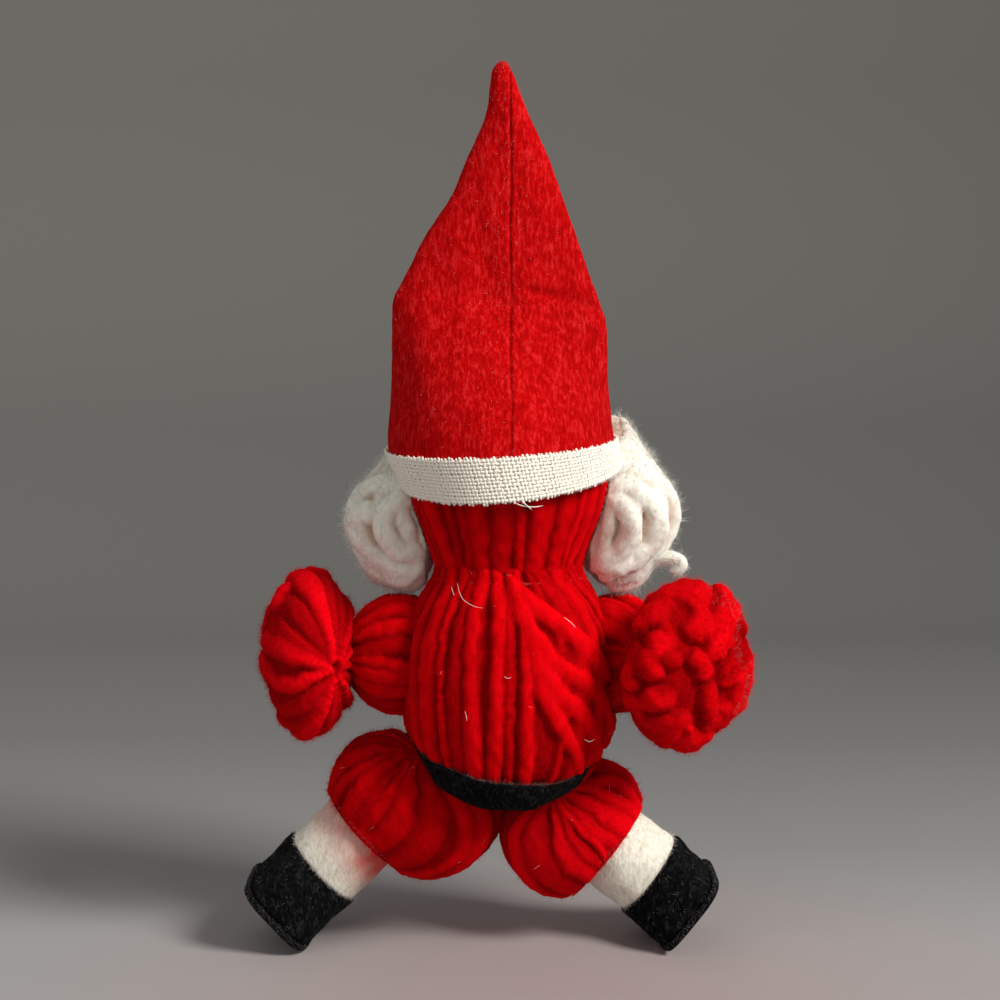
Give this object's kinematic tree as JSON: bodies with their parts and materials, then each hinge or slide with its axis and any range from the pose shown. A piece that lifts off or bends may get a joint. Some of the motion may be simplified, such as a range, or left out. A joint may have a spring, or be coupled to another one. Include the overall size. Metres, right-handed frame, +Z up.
{
  "type": "yarn doll",
  "caption": "Soft standing doll of thick red wool roving over a wire armature, with a tall felt cone hat, white roving hair and beard, felt belt, leggings and boots.",
  "frame": {"origin": "middle of the doll's box on the surface that it stands on", "axes": "+Z up, the doll's front faces -Y, +X is the doll's own left"},
  "size_m": [0.14, 0.0667, 0.2397],
  "materials": {
    "red_roving": "soft matt wool roving in thick strands",
    "white_roving": "soft matt white wool roving",
    "red_felt": "short-napped matt felt",
    "woven_band": "coarse plain weave, raw edges",
    "black_felt": "matt felt with pale lint",
    "cream_felt": "matt felt with a lengthwise seam",
    "face_felt": "plain matt felt",
    "stuffing": "loose white fibre",
    "thread": "twisted cotton thread",
    "wire": "plain soft steel wire",
    "bead": "small glossy black bead",
    "nose_wood": "painted matt wooden bead"
  },
  "bodies": {
    "torso": {"torso_yarn": "red_roving", "torso_stuffing": "stuffing", "neck_tie": "thread", "waist_tie": "thread", "belt": "black_felt", "spine_wire": "wire", "shoulder_wire": "wire", "hip_wire": "wire"},
    "head": {"head_yarn": "red_roving", "head_ball": "stuffing", "face_felt": "face_felt", "left_eye": "bead", "right_eye": "bead", "nose": "nose_wood", "moustache": "white_roving", "beard": "white_roving", "left_hair": "white_roving", "right_hair": "white_roving", "hat_cone": "red_felt", "hat_band": "woven_band"},
    "left_arm": {"left_sleeve_yarn": "red_roving", "left_arm_wire": "wire", "left_wrist_tie": "thread", "left_hand_loops": "red_roving"},
    "left_leg": {"left_pants_yarn": "red_roving", "left_leg_wire": "wire", "left_ankle_tie": "thread", "left_legging": "cream_felt", "left_leg_stuffing": "stuffing", "left_boot_upper": "black_felt", "left_boot_stuffing": "stuffing", "left_boot_sole": "black_felt"},
    "right_arm": {"right_sleeve_yarn": "red_roving", "right_arm_wire": "wire", "right_wrist_tie": "thread", "right_hand_loops": "red_roving"},
    "right_leg": {"right_pants_yarn": "red_roving", "right_leg_wire": "wire", "right_ankle_tie": "thread", "right_legging": "cream_felt", "right_leg_stuffing": "stuffing", "right_boot_upper": "black_felt", "right_boot_stuffing": "stuffing", "right_boot_sole": "black_felt"}
  },
  "joints": [
    {"name": "head_turn", "type": "hinge", "parent": "torso", "child": "head", "pos_m": [-0.0029, 0.0021, 0.10555], "axis": [0, 0, 1], "range_deg": [-25, 25]},
    {"name": "left_shoulder", "type": "hinge", "parent": "torso", "child": "left_arm", "pos_m": [0.0271, -0.0029, 0.08105], "axis": [0, 0, 1], "range_deg": [-40, 48]},
    {"name": "right_shoulder", "type": "hinge", "parent": "torso", "child": "right_arm", "pos_m": [-0.0329, -0.0029, 0.08105], "axis": [0, 0, -1], "range_deg": [-83, 5]},
    {"name": "left_hip", "type": "hinge", "parent": "torso", "child": "left_leg", "pos_m": [0.0271, -0.0059, 0.04076], "axis": [-1, 0, 0], "range_deg": [-20, 70]},
    {"name": "right_hip", "type": "hinge", "parent": "torso", "child": "right_leg", "pos_m": [-0.0219, -0.0059, 0.03414], "axis": [-1, 0, 0], "range_deg": [-20, 70]}
  ]
}
